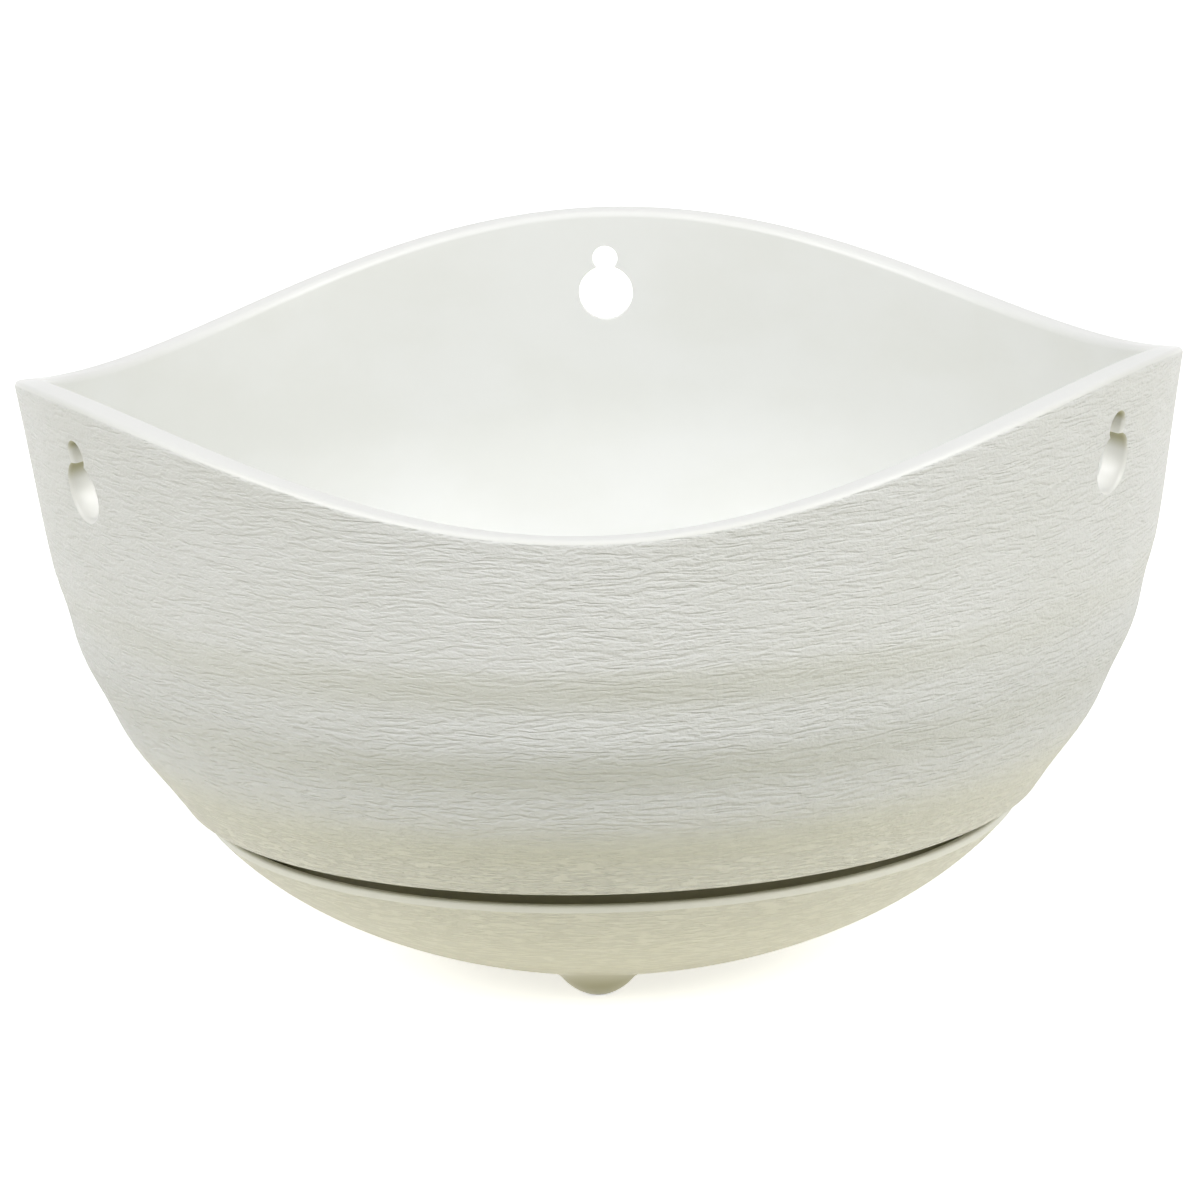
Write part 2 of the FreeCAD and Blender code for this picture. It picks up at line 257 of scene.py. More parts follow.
class PlasticLook(bpy.types.PropertyGroup):
    """Colours and grain of the moulded plastic, with its painted light and shade"""
    # Inside and outside are one plastic; the outside is painted a little darker than the inside, as painted
    # shade of its grain
    bowl_colour: colour("Bowl colour", "Off-white of the bowl's grained outside", (0.765, 0.775, 0.77))
    inside_colour: colour("Inside colour", "Off-white of the bowl's smooth inside", (0.81, 0.82, 0.80))
    # The rim's white is a painted highlight on its up-facing top; the keyholes take it too where they don't
    # face down
    highlight_colour: colour("Rim colour", "White of the rim, where the mould was polished", (0.865, 0.87, 0.855))
    # Painted shade on the keyholes' down-facing faces
    keyhole_shade_colour: colour(
        "Keyhole colour", "Warm tint of the keyholes where they face down", (0.43, 0.41, 0.23))
    # Painted shade in the gap between bowl and tray
    gap_shade_colour: colour(
        "Hidden colour", "Duller tone of the faces between bowl and tray", (0.56, 0.545, 0.42))
    # The tray's warmth is partly its own colour and partly painted warm light from below
    tray_colour: colour("Tray colour", "Off-white of the tray, a little warmer", (0.765, 0.76, 0.68))
    # Painted highlight on the band and edge of the tray's rim, where light catches them
    tray_rim_highlight: colour(
        "Tray rim colour", "White of the band under the tray's rim", (0.80, 0.805, 0.75))
    # Painted shade on the feet, under the tray
    foot_shade_tint: colour("Foot tint", "What the tray's colour is times at its feet", (0.69, 0.68, 0.56))
    # Painted shade on the lower wall, which faces down away from the light
    lower_shade_tint: colour(
        "Lower tint", "What the bowl's colour is times below its first ripple", (0.905, 0.91, 0.91))
    # Painted shade under each ripple's crest
    trough_shade_tint: colour("Trough tint", "What the colour is times under each crest", (0.96, 0.96, 0.92))
    # Painted warm light from below on the lip
    lip_light_tint: colour("Lip tint", "What the bowl's colour is times at its lip", (1.0, 0.985, 0.90))
    # Painted shade in the creases
    crease_shade_tint: colour("Crease tint", "What the bowl's colour is times in a crease", (0.88, 0.88, 0.85))
    crease_shade: share("Crease shade", "How much of that tint the deepest crease takes", 0.15)
    # Painted shade along the fine streaks
    streak_shade: share("Streak shade", "What the colour is times along the fine streaks", 0.91)
    crease_depth: length("Crease depth", "Deepest long crease of the embossed grain", 0.00012)
    crease_count: count("Creases", "Long creases in the bowl's grain", 2600)
    crease_length: length("Crease length", "Half the length of a usual long crease", 0.0045)
    crease_width: length("Crease width", "Half the width of a usual long crease", 0.0004)
    groove_depth: length("Groove depth", "Depth of the short grooves between the creases", 0.00015)
    fine_depth: length("Fine grain depth", "Depth of the fine level grain", 0.00015)
    grain_low: length("Grain low", "Height at which the creases have faded out", 0.050)
    grain_full: length("Grain full", "Height above which the creases are at their full depth", 0.064)
    grain_seed: count("Grain seed", "Start of the random draws for the creases", 7)
    outside_roughness: share("Outside roughness", "Roughness of the grained outside", 0.5)
    inside_roughness: share("Inside roughness", "Roughness of the smooth inside", 0.36)


class StudioSetup(bpy.types.PropertyGroup):
    """The camera and the light"""
    distance: length("Distance", "From the camera to its target", 1.6)
    pitch: turn("Pitch", "How far the camera looks down", 14.44)
    yaw: turn("Yaw", "How far the camera stands to the right", 1.08)
    roll: turn("Roll", "How far the camera leans", -1.892)
    target_side: length("Target side", "The target's place beside the axis", -0.00145)
    target_height: length("Target height", "The target's height", 0.07734)
    lens: number("Lens", "Focal length in millimetres on a 36 mm sensor", 221.6)
    sky: number("Sky", "Strength of the even light from all round", 0.1)
    left: number("Left", "Strength of the soft light at the left", 1.66)
    right: number("Right", "Strength of the soft light at the right", 1.66)
    low_left: number("Low left", "Strength of the low light at the left", 0.5)
    low_right: number("Low right", "Strength of the low light at the right", 0.75)
    back: number("Back", "Strength of the low light behind the planter", 0.8)
    side: turn("Side", "How far to the left and right the two soft lights stand", 50.0)
    rise: turn("Rise", "How high the two soft lights stand", 40.0)
    low_side: turn("Low side", "How far to the left and right the two low lights stand", 75.0)
    low_rise: turn("Low rise", "How high the two low lights stand", 8.0)
    back_rise: turn("Back rise", "How high the light behind the planter stands", 10.0)
    low_colour: colour("Low colour", "Colour of the two low lights", (1.0, 0.975, 0.86))
    spread: turn("Spread", "How wide the soft lights are, seen from the planter", 40.0)
    table_power: number("Table power", "Power of the light table under the planter, in watts", 0.04)
    table_size: length("Table size", "Width of that light table", 0.3)
    table_colour: colour("Table colour", "Warm colour of the light table", (1.0, 0.92, 0.64))
    floor_white: colour("Floor white", "Colour of the floor as the camera sees it", (0.9, 0.9, 0.9))
    floor_bounce: colour("Floor bounce", "Colour of the floor as it lights the planter", (0.63, 0.62, 0.54))
    floor_glow: number("Floor glow", "What the floor adds for the camera, to be white", 0.65)


class Wire:
    """A value in a material's nodes, so that shader maths reads as Python"""

    def __init__(self, tree, socket=None):
        self.tree = tree
        self.socket = socket

    def add(self, kind, settings=None, inputs=None, output=0):
        """A new node: its settings first, then its sockets' values or links"""
        node = self.tree.nodes.new(kind)
        for name, value in (settings or {}).items():
            setattr(node, name, value)
        for name, value in (inputs or {}).items():
            if isinstance(value, Wire):
                self.tree.links.new(value.socket, node.inputs[name])
            else:
                node.inputs[name].default_value = value
        return None if output is None else Wire(self.tree, node.outputs[output])

    def math(self, operation, *values):
        return self.add("ShaderNodeMath", {"operation": operation}, dict(enumerate(values)))

    def __add__(self, other):
        return self.math("ADD", self, other)

    def __radd__(self, other):
        return self.math("ADD", other, self)

    def __sub__(self, other):
        return self.math("SUBTRACT", self, other)

    def __rsub__(self, other):
        return self.math("SUBTRACT", other, self)

    def __mul__(self, other):
        return self.math("MULTIPLY", self, other)

    def __rmul__(self, other):
        return self.math("MULTIPLY", other, self)

    def ramp(self, low, high, start=0.0, end=1.0):
        """This value, eased from start to end between low and high"""
        settings = {"interpolation_type": "SMOOTHSTEP"}
        places = {"Value": self, "From Min": low, "From Max": high, "To Min": start, "To Max": end}
        return self.add("ShaderNodeMapRange", settings, places)

    def mixed(self, first, second):
        """Two colours, mixed by this value"""
        settings = {"data_type": "RGBA"}
        return self.add("ShaderNodeMix", settings, {0: self, 6: first, 7: second}, 2)

    def times(self, rgb, tint):
        """A colour times a tint, as far as this value says"""
        settings = {"data_type": "RGBA", "blend_type": "MULTIPLY"}
        return self.add("ShaderNodeMix", settings, {0: self, 6: rgb, 7: tint}, 2)

    def noise(self, grain):
        """Noise on the object's own coordinates, stretched to a grain's size"""
        across, upright, detail = grain
        place = self.add("ShaderNodeTexCoord", output="Object")
        scale = (1 / across, 1 / across, 1 / upright)
        stretched = self.add("ShaderNodeMapping", inputs={"Vector": place, "Scale": scale})
        inputs = {"Vector": stretched, "Scale": 1.0, "Detail": detail}
        return self.add("ShaderNodeTexNoise", inputs=inputs)

    def sway(self, grain, rise):
        """Noise that goes up and down by half of a rise"""
        return (self.noise(grain) - 0.5) * rise

    def place(self, axis):
        """One of the object's own coordinates"""
        place = self.add("ShaderNodeTexCoord", output="Object")
        return self.add("ShaderNodeSeparateXYZ", inputs={0: place}, output=axis)

    def stored(self, attribute):
        """A value that the mesh holds at its points"""
        return self.add("ShaderNodeAttribute", {"attribute_name": attribute}, output="Fac")

    def bump(self, relief, depth):
        return self.add("ShaderNodeBump", inputs={"Height": relief, "Distance": depth})


def opaque(rgb):
    return (*rgb, 1.0)


def tinted(rgb, factor):
    """A colour times a factor for each channel"""
    return opaque([value * scale for value, scale in zip(rgb, factor)])


def plastic(name, base, roughness, normal):
    """A moulded plastic from a base colour, a roughness and a normal"""
    material = bpy.data.materials.new(name)
    material.use_nodes = True
    tree = material.node_tree
    shader = tree.nodes["Principled BSDF"]
    for socket, finish in (("Base Color", base), ("Roughness", roughness), ("Normal", normal)):
        tree.links.new(finish(Wire(tree)).socket, shader.inputs[socket])
    shader.inputs["IOR"].default_value = PLASTIC_IOR
    return material


def polished(name, look, base):
    """A smooth plastic, as a polished mould leaves it"""
    return plastic(name, base, uneven(look.inside_roughness, POLISH_SPREAD, POLISH), satin)


def gap_shaded(name, look):
    """A duller, darker plastic on the faces between bowl and tray: its darkness is painted shade in the gap
    """
    roughness = uneven(look.outside_roughness, MATTE_SPREAD, POLISH)
    return plastic(name, mottled(look.gap_shade_colour), roughness, satin)


def mottled(rgb):
    """The plastic's colour, with the faint cloudiness of a moulding"""
    def base(wire):
        cloud = wire.noise(CLOUDS).ramp(*CLOUD_EDGES)
        return cloud.mixed(tinted(rgb, CLOUD_DARK), tinted(rgb, CLOUD_LIGHT))
    return base


def rim_highlighted(plain, highlight_colour):
    """A smooth face's colour, lighter on the rim with a painted highlight"""
    def base(wire):
        return wire.stored("painted_shading").mixed(plain(wire), opaque(highlight_colour))
    return base


def foot_shaded(look):
    """The smooth tray's colour, darker at its feet with painted shade"""
    def base(wire):
        above = wire.place("Z").ramp(*FOOT_TO_TRAY)
        return above.mixed(tinted(look.tray_colour, look.foot_shade_tint), mottled(look.tray_colour)(wire))
    return base


def keyhole_light_and_shade(look):
    """The keyholes' colour: a warm painted shade where they face down, the rim's painted highlight where
    they don't
    """
    def base(wire):
        facing = wire.add("ShaderNodeNewGeometry", output="Normal")
        upwards = wire.add("ShaderNodeSeparateXYZ", inputs={0: facing}, output="Z")
        white = mottled(look.highlight_colour)(wire)
        return upwards.ramp(*FACING_DOWN).mixed(white, opaque(look.keyhole_shade_colour))
    return base


def fibred(rgb, shade):
    """A grained face's colour, times a painted shade along its fine streaks"""
    def base(wire):
        return fibres(wire).mixed(mottled(rgb)(wire), tinted(rgb, (shade, shade, shade)))
    return base


def creased(look):
    """The grained outside's colour, with painted shade in the creases, under each crest and below the first
    ripple's crest, and painted warm light at the lip
    """
    def base(wire):
        upper = wire.place("Z").ramp(*MIDDLE_TO_TOP)
        middle = wire.place("Z").ramp(*LIP_TO_MIDDLE)
        lip_colour = fibred(tinted(look.bowl_colour, look.lip_light_tint)[:3], look.streak_shade)
        lower = middle.mixed(lip_colour(wire), tinted(look.bowl_colour, look.lower_shade_tint))
        plain = upper.mixed(lower, mottled(look.bowl_colour)(wire))
        shaded = wire.stored("trough").times(plain, opaque(look.trough_shade_tint))
        # Painted shade in the creases, by their depth
        crease = wire.stored("painted_shading") * look.crease_shade
        return crease.mixed(shaded, tinted(look.bowl_colour, look.crease_shade_tint))
    return base


def uneven(roughness, spread, grain):
    """A roughness that varies a little with the grain"""
    def value(wire):
        return wire.noise(grain).ramp(*ROUGH_EDGES, roughness - spread, roughness + spread)
    return value


def grooves(wire, net):
    """Level grooves that part and meet, with gaps: 1 deep in a groove, 0 outside"""
    across, upright, start = net
    drift = wire.sway(DRIFT, DRIFT_RISE)
    waver = wire.sway(WAVER, WAVER_RISE)
    turned = wire.math("ARCTAN2", wire.place("X"), 0.0 - wire.place("Y"))
    along = turned * (BOWL_HIGH.x / across) + start
    climb = (wire.place("Z") + drift + waver) * (1 / upright)
    cell = wire.add("ShaderNodeCombineXYZ", inputs={"X": along, "Y": climb})
    settings = {"voronoi_dimensions": "2D", "feature": "DISTANCE_TO_EDGE"}
    edge = wire.add("ShaderNodeTexVoronoi", settings, {"Vector": cell, "Scale": 1.0})
    kept = wire.noise(GROOVE_GAPS).ramp(*GAP_EDGES)
    return edge.ramp(GROOVE_HALF, 0.0) * kept


def fibres(wire):
    """The fine level streaks of the tray and the bowl's lowest part: 1 in a streak, 0 between"""
    return wire.noise(STREAKS).ramp(*STREAK_EDGES)


def specks(wire):
    """The finest grain of the outside"""
    return wire.noise(SPECKS)


def crinkled(depth, fine_depth):
    """Crisp grooves on the upper wall, and a fine level grain below them"""
    def normal(wire):
        upper = wire.place("Z").ramp(*STREAKS_TO_GROOVES)
        deeper = wire.place("Z").ramp(*DEEP_TO_SHALLOW, LOW_SHARE, 1.0)
        long_ones = grooves(wire, LONG_GROOVES)
        short_ones = grooves(wire, SHORT_GROOVES)
        both = wire.math("MAXIMUM", long_ones, short_ones * SHORT_SHARE) * upper * deeper
        streaks = fibres(wire) * (1.0 - upper) * BOWL_RELIEF
        relief = specks(wire) * BOWL_RELIEF - both * (depth / fine_depth) - streaks
        return wire.bump(relief, fine_depth)
    return normal


def level_grain(fine_depth):
    """The tray's fine level grain"""
    def normal(wire):
        return wire.bump(specks(wire) * TRAY_RELIEF - fibres(wire) * TRAY_RELIEF, fine_depth)
    return normal


def satin(wire):
    """The faint unevenness of a polished mould"""
    return wire.bump(wire.noise(SATIN), SATIN_DEPTH)


def spaced(first, number_of):
    """Angles evenly spaced round the axis"""
    return [first + FULL_TURN / number_of * i for i in range(number_of)]


def bezier(points, shares):
    """Points and unit directions of a Bezier curve, as (radius, height) rows"""
    rows = [np.array(point, float)[None, :] + 0 * shares[:, None] for point in points]
    while len(rows) > 2:
        rows = [a + (b - a) * shares[:, None] for a, b in zip(rows, rows[1:])]
    run = rows[1] - rows[0]
    return rows[0] + run * shares[:, None], run / np.linalg.norm(run, axis=1)[:, None]


def stepped(start, lean, distance):
    """A point away from start, along a line that leans outwards from the vertical"""
    return (start[0] + distance * math.sin(lean), start[1] + distance * math.cos(lean))


class Curve:
    """A half section's curve that climbs, from which offset radii are read by height"""

    SAMPLES = 600

    def __init__(self, points, run_on=0.0):
        places, runs = bezier(points, np.linspace(0, 1, self.SAMPLES))
        if run_on:
            places = np.vstack([places, places[-1] + runs[-1] * run_on])
            runs = np.vstack([runs, runs[-1]])
        self.places = places
        self.runs = runs

    def inset(self, depth):
        """The curve moved inwards along its normal"""
        inwards = np.stack([-self.runs[:, 1], self.runs[:, 0]], 1)
        return self.places + depth * inwards

    def radius(self, height, depth=0.0):
        moved = self.inset(depth)
        return np.interp(height, moved[:, 1], moved[:, 0])

    def sunk(self, height, depth):
        """Points that start on the curve at a height and go in by a depth there"""
        radius = self.radius(height)
        run = np.interp(height, self.places[:, 1], self.runs[:, 0])
        rise = np.interp(height, self.places[:, 1], self.runs[:, 1])
        return radius - depth * rise, height + depth * run


def bowl_wall(bowl):
    """The bowl's outer wall, carried on in a straight line above its mean rim"""
    rim = (bowl.rim_radius, bowl.rim_peak - bowl.wave_rise)
    lip = (bowl.lip_radius, bowl.lip_height)
    low = stepped(lip, bowl.lip_lean, bowl.lip_pull)
    high = stepped(rim, bowl.rim_lean, -bowl.rim_pull)
    return Curve([lip, low, high, rim], run_on=4 * bowl.wave_rise)


def tray_side(tray):
    """The tray's outer side, from its flat underside up to the band under its rim"""
    low = (tray.floor_radius, tray.foot_height)
    high = (tray.rim_radius, tray.rim_height - tray.band)
    full = (low[0] + (high[0] - low[0]) * tray.fullness, high[1] + (low[1] - high[1]) * tray.fullness)
    return Curve([low, full, high])


def thickening(bowl):
    """How much thicker the wall grows for each step up, above where it starts to"""
    return (bowl.rim_width - bowl.wall) / (bowl.rim_peak - bowl.thickening_height)


def inner_wall(bowl, wall, height):
    """Points of the inner wall, opposite heights on the outer wall"""
    growth = np.maximum(0.0, height - bowl.thickening_height)
    return wall.sunk(height, bowl.wall + growth * thickening(bowl))


def opposite(bowl, wall, level):
    """Heights on the outer wall whose opposite points on the inner wall are at a level, step by step"""
    height = level
    for _ in range(SETTLING):
        height = height + level - inner_wall(bowl, wall, height)[1]
    return height


def swing(bowl, height):
    """How far the ripples have swung at a height, from the first crest down"""
    return FULL_TURN * np.maximum(0.0, bowl.ripple_top - height) / bowl.ripple_pitch


def ripple_share(bowl, angles):
    """The ripples' share of their full depth, less under the rim's peaks"""
    peak = (1 + np.cos(bowl.wave_peaks * (angles - BACK))) / 2
    return 1 - bowl.ripple_fade * peak


def ripple(bowl, height, angles):
    """How far the ripples draw the wall in"""
    depth = bowl.ripple_depth * (1 - np.cos(swing(bowl, height))) / 2
    return depth * ripple_share(bowl, angles)


def trough(bowl, height, angles):
    """1 where the wall turns down under a crest, 0 where it turns up: the share of painted shade there"""
    down = np.clip((np.sin(swing(bowl, height)) + TROUGH_SPREAD) / (1 + TROUGH_SPREAD), 0, 1)
    return np.where(height < bowl.ripple_top, down * ripple_share(bowl, angles), 0.0)


class CreaseMap:
    """Depth of the embossed creases, unrolled: rows climb the wall, columns go round it"""

    CELL_UP = 0.15 * MM
    CELL_ROUND = 0.55 * MM
    LENGTH_SPREAD = 0.5
    LONGEST = 2.6               # the longest crease, next to a usual one
    WIDTHS = (0.65, 1.25)       # the narrowest and the widest, next to a usual one
    DEPTHS = (0.35, 1.0)        # the shallowest, next to the deepest
    TILT = 0.06                 # spread of a crease's own slope
    BOW = 6.0                   # spread of its bend
    WAVE = 0.18 * MM            # spread of the height of its small waves
    TAPER = 0.7                 # how bluntly its ends run out
    HEADROOM = 1.001            # rows above the highest one that is read
    REACH = 2.5                 # how many widths out a crease still shows
    WOBBLE = 1.3 * MM           # length of the small waves along a crease

    # The grain's slow drift: waves round the bowl, height of each radian, and slope
    DRIFTS = ((5, 21 * MM, 0.05), (11, -13 * MM, 0.06), (17, 9 * MM, 0.05))

    def __init__(self, bowl, look):
        self.low = bowl.lip_height
        self.girth = FULL_TURN * bowl.rim_radius
        self.rows = math.ceil((bowl.rim_peak - self.low) / self.CELL_UP) + 1
        self.columns = round(self.girth / self.CELL_ROUND)
        self.depth = np.zeros((self.rows, self.columns))
        random = np.random.default_rng(look.grain_seed)
        self.swirl = random.uniform(0, FULL_TURN, 5)
        for _ in range(look.crease_count):
            self.crease(random, look)

    def slope(self, across, up):
        """The grain's slow drift away from level, the same after a full turn"""
        angle = across / self.girth * FULL_TURN
        slope = 0.0
        for (waves, rise, most), start in zip(self.DRIFTS, self.swirl):
            slope += most * math.sin(waves * angle + up / rise + start)
        return slope

    def crease(self, random, look):
        """One short crease, tapered at both ends"""
        across = random.uniform(0, self.girth)
        up = random.uniform(0, self.rows * self.CELL_UP)
        half = look.crease_length * min(self.LONGEST, random.lognormal(0.0, self.LENGTH_SPREAD))
        width = look.crease_width * random.uniform(*self.WIDTHS)
        depth = random.uniform(*self.DEPTHS)
        slope = self.slope(across, up) + random.normal(0, self.TILT)
        bow = random.normal(0, self.BOW)
        wobble = random.normal(0, self.WAVE)
        phase = random.uniform(0, FULL_TURN)
        steps = math.ceil(half / self.CELL_ROUND)
        columns = np.arange(-steps, steps + 1)
        along = columns * self.CELL_ROUND
        line = up + slope * along + bow * along ** 2 + wobble * np.sin(along / self.WOBBLE + phase)
        taper = np.clip(1 - (along / half) ** 2, 0, 1) ** self.TAPER
        first = max(0, math.floor((line.min() - self.REACH * width) / self.CELL_UP))
        last = min(self.rows, math.ceil((line.max() + self.REACH * width) / self.CELL_UP) + 1)
        if first >= last:
            return
        heights = np.arange(first, last) * self.CELL_UP
        shape = depth * taper * np.exp(-((heights[:, None] - line) / width) ** 2)
        places = (columns + round(across / self.CELL_ROUND)) % self.columns
        self.depth[first:last, places] = np.maximum(self.depth[first:last, places], shape)

    def read(self, height, angle):
        """Depth at heights and angles, from 0 to 1"""
        row = np.clip((height - self.low) / self.CELL_UP, 0, self.rows - self.HEADROOM)
        column = (angle / FULL_TURN) % 1.0 * self.columns
        r, c = row.astype(int), column.astype(int) % self.columns
        up, on = row - r, column - np.floor(column)
        after = (c + 1) % self.columns
        lower = self.depth[r, c] * (1 - on) + self.depth[r, after] * on
        upper = self.depth[r + 1, c] * (1 - on) + self.depth[r + 1, after] * on
        return lower * (1 - up) + upper * up


class Section:
    """Rings of points round the axis, in the order in which a closed half section is walked"""

    COLUMNS = 360

    def __init__(self):
        self.angles = np.arange(self.COLUMNS) / self.COLUMNS * FULL_TURN
        self.rings = []
        self.slots = []
        self.painted_shadings = []
        self.troughs = []

    # The painted shading weight holds the painted highlight on smooth rims and the painted crease shade on
    # the grained wall
    def ring(self, radius, height, slot, painted_shading=0.0, trough=0.0):
        even = np.ones(self.COLUMNS)
        self.rings.append((radius * even, height * even))
        self.slots.append(slot)
        self.painted_shadings.append(painted_shading * even)
        self.troughs.append(trough * even)

    def line(self, start, end, steps, slot):
        """Rings from start to end, without the last one"""
        for i in range(steps):
            t = i / steps
            self.ring(start[0] + (end[0] - start[0]) * t, start[1] + (end[1] - start[1]) * t, slot)

    def arc(self, centre, radius, angles, slot, painted_shadings):
        """Rings on an arc about a centre, one at each angle"""
        for angle, painted_shading in zip(angles, painted_shadings):
            across, up = radius * math.cos(angle), radius * math.sin(angle)
            self.ring(centre[0] + across, centre[1] + up, slot, painted_shading)

    def mesh(self, name, closed):
        """The mesh of the rings: a closed one joins its last ring to its first"""
        columns = self.COLUMNS
        points = []
        for radius, height in self.rings:
            points.append(np.stack([radius * np.cos(self.angles), radius * np.sin(self.angles), height], 1))
        points = np.vstack(points)
        faces, slots = [], []
        after = np.roll(np.arange(columns), -1)
        pairs = len(self.rings) if closed else len(self.rings) - 1
        for i in range(pairs):
            low = i * columns
            high = (i + 1) % len(self.rings) * columns
            here = np.arange(columns)
            faces.append(np.stack([low + here, low + after, high + after, high + here], 1))
            slots += [self.slots[i]] * columns
        faces = [tuple(face) for face in np.vstack(faces).tolist()]
        points = points.tolist()
        painted_shadings = np.concatenate(self.painted_shadings).tolist()
        troughs = np.concatenate(self.troughs).tolist()
        if not closed:
            for ring, order in ((0, -1), (len(self.rings) - 1, 1)):
                middle = len(points)
                points.append((0.0, 0.0, float(self.rings[ring][1].mean())))
                painted_shadings.append(0.0)
                troughs.append(0.0)
                for j in range(columns):
                    pair = (ring * columns + j, ring * columns + int(after[j]))
                    faces.append((middle, *pair[::order]))
                    slots.append(self.slots[ring])
        mesh = bpy.data.meshes.new(name)
        mesh.from_pydata(points, [], faces)
        mesh.polygons.foreach_set("material_index", slots)
        for attribute, values in (("painted_shading", painted_shadings), ("trough", troughs)):
            layer = mesh.attributes.new(attribute, "FLOAT", "POINT")
            layer.data.foreach_set("value", values)
        return mesh


def placed(mesh, body, node, materials):
    """The mesh as a piece that rides on a body and stands for a node"""
    for material in materials:
        mesh.materials.append(material)
    piece = bpy.data.objects.new(mesh.name, mesh)
    bpy.context.scene.collection.objects.link(piece)
    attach(piece, body)
    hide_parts(node)
    return piece


def smoothed(mesh, sharpest, crisp=None):
    """Smooth shading, broken where the surface turns sharply or where two crisp finishes meet"""
    work = bmesh.new()
    work.from_mesh(mesh)
    for face in work.faces:
        face.smooth = True
    for edge in work.edges:
        finishes = {face.material_index for face in edge.link_faces}
        flat = len(edge.link_faces) == 2 and edge.calc_face_angle(0.0) < sharpest
        edge.smooth = flat and finishes != crisp
    work.to_mesh(mesh)
    work.free()


def prism(name, outlines, slot):
    """A closed cutter through outlines of as many points each"""
    sides = len(outlines[0])
    points = [point for outline in outlines for point in outline]
    faces = [tuple(range(sides))[::-1], tuple(range(len(points) - sides, len(points)))]
    for i in range(len(outlines) - 1):
        for j in range(sides):
            k = (j + 1) % sides
            faces.append((i * sides + j, i * sides + k, (i + 1) * sides + k, (i + 1) * sides + j))
    mesh = bpy.data.meshes.new(name)
    mesh.from_pydata(points, [], faces)
    mesh.polygons.foreach_set("material_index", [slot] * len(faces))
    return mesh


def keyhole_outline(wide, narrow, spacing):
    """A wide hole with a narrow one above it, as points round the joined outline"""
    join = (spacing ** 2 + wide ** 2 - narrow ** 2) / (2 * spacing)
    half = math.sqrt(wide ** 2 - join ** 2)
    points = []
    above = math.atan2(join - spacing, half)
    below = math.atan2(join, half)
    arcs = (
        (spacing, narrow, NARROW_SIDES, above, math.pi - above),
        (0.0, wide, WIDE_SIDES, math.pi - below, FULL_TURN + below),
    )
    for centre, radius, steps, start, end in arcs:
        for i in range(steps):
            angle = start + (end - start) * i / steps
            points.append((radius * math.cos(angle), centre + radius * math.sin(angle)))
    return points


def keyhole_cutter(bowl, angle):
    """The cutter of the keyhole at an angle round the axis, rounded at both faces of the wall"""
    outwards = Vector((KEY_AXIS.y, 0, KEY_AXIS.z))
    upwards = Vector((-KEY_AXIS.z, 0, KEY_AXIS.y))
    sideways = Vector((0, 1, 0))
    centre = Vector((KEY_PLACE.y, 0, KEY_PLACE.z))
    face = KEY_WALL / 2
    reach = face + bowl.wall
    inside = [bowl.key_edge * (1 - t) - face for t in reversed(KEY_ROUNDING)]
    outside = [bowl.key_round * (t - 1) + face for t in KEY_ROUNDING]
    outlines = []
    for depth in (-reach, *inside, *outside, reach):
        soft = bowl.key_edge if depth < 0 else bowl.key_round
        past = 1 + (abs(depth) - face) / soft
        turned = min(past, KEY_ROUNDING[-1])
        grow = soft * (KEY_FLARE * turned ** 2 + past - turned)
        outline = keyhole_outline(KEY_RADIUS + grow, bowl.key_slot_radius + grow, bowl.key_spacing)
        ring = []
        for across, up in outline:
            bend = -across ** 2 / (2 * KEY_PLACE.y)
            if depth < 0:
                bend -= up * thickening(bowl)
            ring.append(centre + sideways * across + upwards * up + outwards * (depth + bend))
        outlines.append(ring)
    mesh = prism("keyhole_cutter", outlines, KEYHOLE)
    mesh.transform(Matrix.Rotation(angle, 4, "Z"))
    return mesh


def drain_cutter(bowl, angle):
    """The cutter of one drain hole, bevelled at both faces of the floor"""
    low = bowl.lip_height
    high = low + bowl.floor_thickness
    bevel = bowl.drain_bevel
    outlines = []
    for height in (low - bowl.wall, low + bevel, high - bevel, high + bowl.wall):
        grow = max(0.0, low + bevel - height, height - high + bevel)
        ring = []
        radius = bowl.drain_radius + grow
        for i in range(DRAIN_SIDES):
            spin = FULL_TURN * (i + 0.5) / DRAIN_SIDES
            ring.append((bowl.drain_circle + radius * math.cos(spin), radius * math.sin(spin), height))
        outlines.append(ring)
    mesh = prism("drain_cutter", outlines, SMOOTH)
    mesh.transform(Matrix.Rotation(angle, 4, "Z"))
    return mesh


def cut(piece, cutters):
    """Takes the cutters out of the piece's mesh"""
    work = bmesh.new()
    for mesh in cutters:
        work.from_mesh(mesh)
        bpy.data.meshes.remove(mesh)
    joined = bpy.data.meshes.new("cutters")
    work.to_mesh(joined)
    work.free()
    for material in piece.data.materials:
        joined.materials.append(material)
    tool = bpy.data.objects.new("cutters", joined)
    bpy.context.scene.collection.objects.link(tool)
    step = piece.modifiers.new("Cut", "BOOLEAN")
    step.operation = "DIFFERENCE"
    step.solver = "MANIFOLD"
    step.object = tool
    bpy.context.view_layer.update()
    graph = bpy.context.evaluated_depsgraph_get()
    result = bpy.data.meshes.new_from_object(piece.evaluated_get(graph))
    name = piece.data.name
    piece.modifiers.clear()
    piece.data = result
    result.name = name
    bpy.data.objects.remove(tool)
    bpy.data.meshes.remove(joined)


def rim_line(bowl, angles):
    """Height of the wavy rim round the axis"""
    wave = np.cos(bowl.wave_peaks * (angles - BACK))
    return bowl.rim_peak - bowl.wave_rise + bowl.wave_rise * wave


